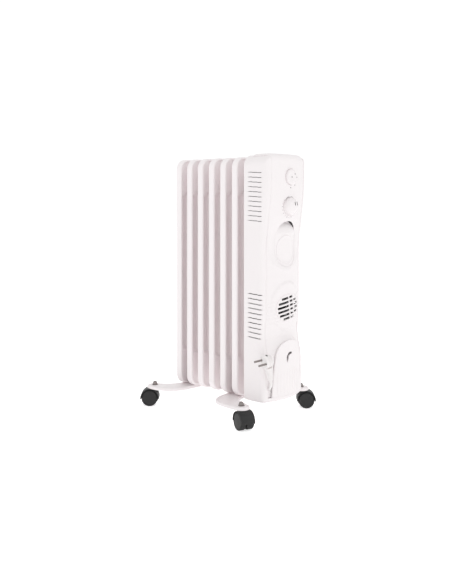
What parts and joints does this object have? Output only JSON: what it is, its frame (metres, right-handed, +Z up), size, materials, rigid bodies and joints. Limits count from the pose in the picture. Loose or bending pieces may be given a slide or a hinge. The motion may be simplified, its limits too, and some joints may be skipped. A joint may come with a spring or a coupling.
{
  "type": "oil filled radiator heater",
  "caption": "Oil-filled electric radiator with a stack of upright white fins, a tall bowed control housing with two dials, a fan grille and cord store, and castors on curved feet.",
  "frame": {"origin": "on the floor, under the middle of the heater's box, cord and plug left out", "axes": "+Z up, -Y out of the control panel, +X to the right of someone who faces the panel"},
  "size_m": [0.3048, 0.3924, 0.6275],
  "materials": {
    "white_paint": "satin powder coat",
    "white_plastic": "satin moulded",
    "gloss_white": "gloss moulded",
    "cord_white": "satin flexible PVC",
    "black_plastic": "matt moulded",
    "black_rubber": "matt",
    "castor_black": "satin moulded",
    "zinc": "zinc plated",
    "steel": "plain",
    "brass": "machined",
    "aluminium": "plain",
    "chrome": "plated"
  },
  "bodies": {
    "radiator": {"badge_plate": "gloss_white", "cord_coil": "cord_white", "cord_cover": "white_plastic", "cord_gland": "black_rubber", "cord_inner_lead": "cord_white", "cord_outer_lead": "cord_white", "cord_well": "white_plastic", "drain_plug": "zinc", "element_flange": "brass", "fan_grille": "white_plastic", "fan_heater": "aluminium", "fan_motor": "steel", "filler_plug": "zinc", "front_fascia": "white_plastic", "front_foot": "white_paint", "front_left_stud": "chrome", "front_left_wing_nut": "zinc", "front_right_stud": "chrome", "front_right_wing_nut": "zinc", "front_u_bolt": "zinc", "grip_insert": "white_plastic", "header_cap": "zinc", "heat_shield": "zinc", "heating_element": "steel", "housing_shell": "white_plastic", "oil_fin_1": "white_paint", "oil_fin_2": "white_paint", "oil_fin_3": "white_paint", "oil_fin_4": "white_paint", "oil_fin_5": "white_paint", "oil_fin_6": "white_paint", "oil_fin_7": "white_paint", "plug_body": "cord_white", "plug_pin_front": "chrome", "plug_pin_rear": "chrome", "plug_sleeve": "cord_white", "rear_foot": "white_paint", "rear_left_stud": "chrome", "rear_left_wing_nut": "zinc", "rear_right_stud": "chrome", "rear_right_wing_nut": "zinc", "rear_u_bolt": "zinc", "selector_body": "black_plastic", "terminal_block": "black_plastic", "thermal_cutout": "black_plastic", "thermostat_body": "black_plastic", "tilt_switch": "black_plastic", "winder_hub": "white_plastic"},
    "rear_left_fork": {"rear_left_hood": "castor_black"},
    "rear_left_rollers": {"rear_left_wheels": "castor_black"},
    "rear_right_fork": {"rear_right_hood": "castor_black"},
    "rear_right_rollers": {"rear_right_wheels": "castor_black"},
    "front_left_fork": {"front_left_hood": "castor_black"},
    "front_left_rollers": {"front_left_wheels": "castor_black"},
    "front_right_fork": {"front_right_hood": "castor_black"},
    "front_right_rollers": {"front_right_wheels": "castor_black"},
    "thermostat_dial": {"thermostat_knob": "gloss_white"},
    "selector_dial": {"selector_knob": "gloss_white"},
    "fan_rotor": {"fan_impeller": "black_plastic"}
  },
  "joints": [
    {"name": "rear_left_swivel", "type": "hinge", "parent": "radiator", "child": "rear_left_fork", "pos_m": [-0.115, 0.15641, 0.045], "axis": [0, 0, 1], "continuous": true},
    {"name": "rear_left_roll", "type": "hinge", "parent": "rear_left_fork", "child": "rear_left_rollers", "pos_m": [-0.12347, 0.16587, 0.02], "axis": [-0.7455, -0.6665, 0], "continuous": true},
    {"name": "rear_right_swivel", "type": "hinge", "parent": "radiator", "child": "rear_right_fork", "pos_m": [0.115, 0.15641, 0.045], "axis": [0, 0, 1], "continuous": true},
    {"name": "rear_right_roll", "type": "hinge", "parent": "rear_right_fork", "child": "rear_right_rollers", "pos_m": [0.12347, 0.16587, 0.02], "axis": [-0.7455, 0.6665, 0], "continuous": true},
    {"name": "front_left_swivel", "type": "hinge", "parent": "radiator", "child": "front_left_fork", "pos_m": [-0.115, -0.13159, 0.045], "axis": [0, 0, 1], "continuous": true},
    {"name": "front_left_roll", "type": "hinge", "parent": "front_left_fork", "child": "front_left_rollers", "pos_m": [-0.11988, -0.14332, 0.02], "axis": [0.9232, -0.3843, 0], "continuous": true},
    {"name": "front_right_swivel", "type": "hinge", "parent": "radiator", "child": "front_right_fork", "pos_m": [0.115, -0.13159, 0.045], "axis": [0, 0, 1], "continuous": true},
    {"name": "front_right_roll", "type": "hinge", "parent": "front_right_fork", "child": "front_right_rollers", "pos_m": [0.12347, -0.14106, 0.02], "axis": [0.7455, 0.6665, 0], "continuous": true},
    {"name": "thermostat_turn", "type": "hinge", "parent": "radiator", "child": "thermostat_dial", "pos_m": [0, -0.18376, 0.504], "axis": [0, 1, 0], "range_deg": [0, 270]},
    {"name": "selector_turn", "type": "hinge", "parent": "radiator", "child": "selector_dial", "pos_m": [0, -0.18674, 0.573], "axis": [0, 1, 0], "range_deg": [0, 180]},
    {"name": "fan_spin", "type": "hinge", "parent": "radiator", "child": "fan_rotor", "pos_m": [0, -0.15385, 0.2665], "axis": [0, 1, 0], "continuous": true}
  ]
}
